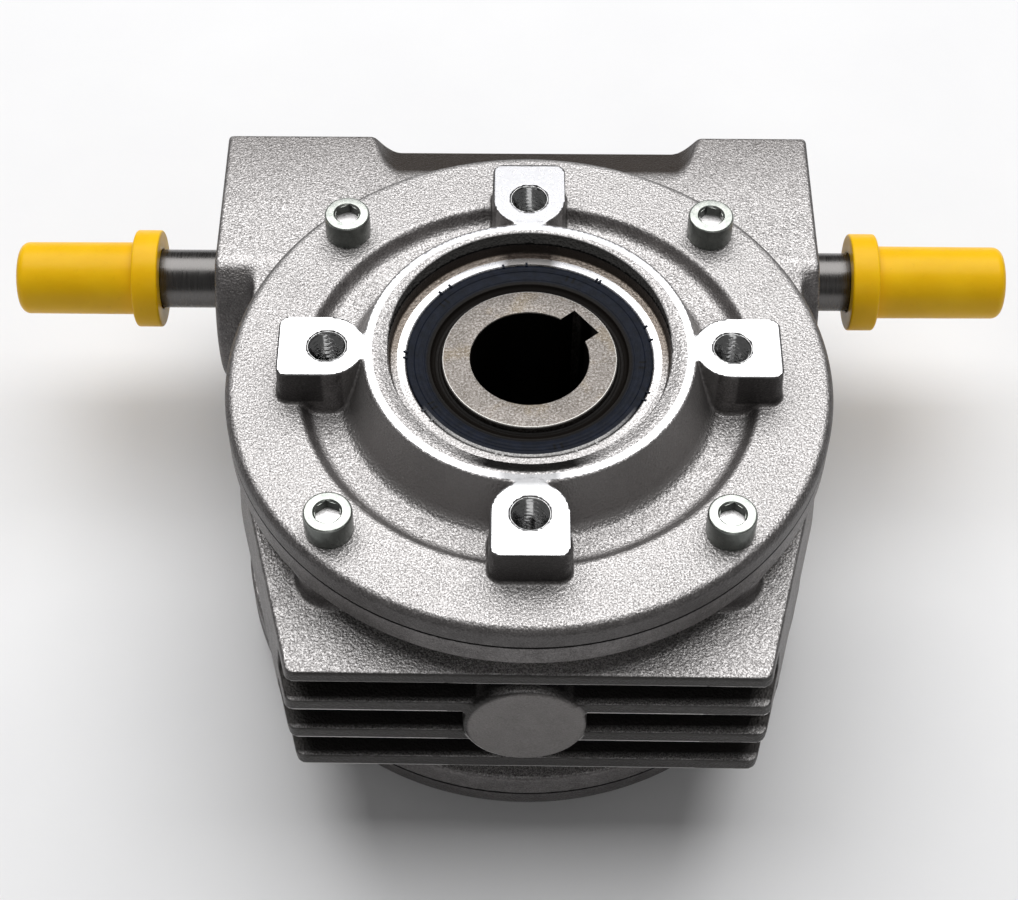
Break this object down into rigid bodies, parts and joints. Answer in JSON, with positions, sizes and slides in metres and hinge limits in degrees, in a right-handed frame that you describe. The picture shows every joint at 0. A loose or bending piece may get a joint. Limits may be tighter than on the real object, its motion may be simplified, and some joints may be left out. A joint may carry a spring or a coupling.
{
  "type": "worm gearbox",
  "caption": "Compact cast-aluminium worm gearbox with a keyed hollow output bore, round screwed covers, cooling fins and a through worm shaft with push-on end caps.",
  "frame": {"origin": "centre of the bounding box's bottom face, on the plane of the lower cover's pad faces", "axes": "+Z along the output bore, +X along the worm shaft towards its shorter end, +Y from the output bore towards the worm block's feet"},
  "size_m": [0.2368, 0.1502, 0.0902],
  "materials": {
    "cast_case": "fine sand-cast skin with machined faces",
    "zinc_steel": "zinc-plated, satin",
    "hub_steel": "turned, lightly stained",
    "bronze": "machined bronze",
    "seal_rubber": "satin",
    "ring_rubber": "matte",
    "shaft_steel": "ground and polished",
    "bearing_steel": "ground",
    "cage_steel": "pressed steel, satin",
    "cap_plastic": "satin-gloss moulded"
  },
  "bodies": {
    "gear_case": {"housing": "cast_case", "upper_cover": "cast_case", "lower_cover": "cast_case", "upper_cover_ring": "ring_rubber", "lower_cover_ring": "ring_rubber", "upper_output_seal": "seal_rubber", "lower_output_seal": "seal_rubber", "upper_cover_screw_1": "zinc_steel", "upper_cover_screw_2": "zinc_steel", "upper_cover_screw_3": "zinc_steel", "upper_cover_screw_4": "zinc_steel", "lower_cover_screw_1": "zinc_steel", "lower_cover_screw_2": "zinc_steel", "lower_cover_screw_3": "zinc_steel", "lower_cover_screw_4": "zinc_steel", "upper_output_bearing_outer_ring": "bearing_steel", "lower_output_bearing_outer_ring": "bearing_steel", "left_worm_bearing_outer_ring": "bearing_steel", "right_worm_bearing_outer_ring": "bearing_steel", "left_worm_seal": "seal_rubber", "right_worm_seal": "seal_rubber"},
    "output_drive": {"output_hub": "hub_steel", "worm_wheel_rim": "bronze", "upper_output_bearing_inner_ring": "bearing_steel", "lower_output_bearing_inner_ring": "bearing_steel"},
    "worm_drive": {"worm_shaft": "shaft_steel", "left_worm_bearing_inner_ring": "bearing_steel", "right_worm_bearing_inner_ring": "bearing_steel"},
    "upper_output_balls": {"upper_output_bearing_ball_set": "cage_steel"},
    "lower_output_balls": {"lower_output_bearing_ball_set": "cage_steel"},
    "left_worm_balls": {"left_worm_bearing_ball_set": "cage_steel"},
    "right_worm_balls": {"right_worm_bearing_ball_set": "cage_steel"},
    "left_cap": {"left_shaft_cap": "cap_plastic"},
    "right_cap": {"right_shaft_cap": "cap_plastic"}
  },
  "joints": [
    {"name": "output_spin", "type": "hinge", "parent": "gear_case", "child": "output_drive", "pos_m": [0.0038, -0.0102, 0.0451], "axis": [0, 0, 1], "continuous": true},
    {"name": "worm_spin", "type": "hinge", "parent": "gear_case", "child": "worm_drive", "pos_m": [0.0038, 0.0478, 0.0451], "axis": [1, 0, 0], "continuous": true},
    {"name": "upper_output_balls_spin", "type": "hinge", "parent": "gear_case", "child": "upper_output_balls", "pos_m": [0.0038, -0.0102, 0.0731], "axis": [0, 0, 1], "continuous": true},
    {"name": "lower_output_balls_spin", "type": "hinge", "parent": "gear_case", "child": "lower_output_balls", "pos_m": [0.0038, -0.0102, 0.0171], "axis": [0, 0, 1], "continuous": true},
    {"name": "left_worm_balls_spin", "type": "hinge", "parent": "gear_case", "child": "left_worm_balls", "pos_m": [-0.0552, 0.0478, 0.0451], "axis": [1, 0, 0], "continuous": true},
    {"name": "right_worm_balls_spin", "type": "hinge", "parent": "gear_case", "child": "right_worm_balls", "pos_m": [0.0578, 0.0478, 0.0451], "axis": [1, 0, 0], "continuous": true},
    {"name": "left_cap_pull", "type": "slide", "parent": "worm_drive", "child": "left_cap", "axis": [-1, 0, 0], "range_m": [0, 0.04]},
    {"name": "right_cap_pull", "type": "slide", "parent": "worm_drive", "child": "right_cap", "axis": [1, 0, 0], "range_m": [0, 0.04]}
  ],
  "couplings": [
    {"joint": "worm_spin", "follows": "output_spin", "ratio": 30},
    {"joint": "upper_output_balls_spin", "follows": "output_spin", "ratio": 0.4315},
    {"joint": "lower_output_balls_spin", "follows": "output_spin", "ratio": 0.4315},
    {"joint": "left_worm_balls_spin", "follows": "output_spin", "ratio": 12.346},
    {"joint": "right_worm_balls_spin", "follows": "output_spin", "ratio": 12.346}
  ]
}
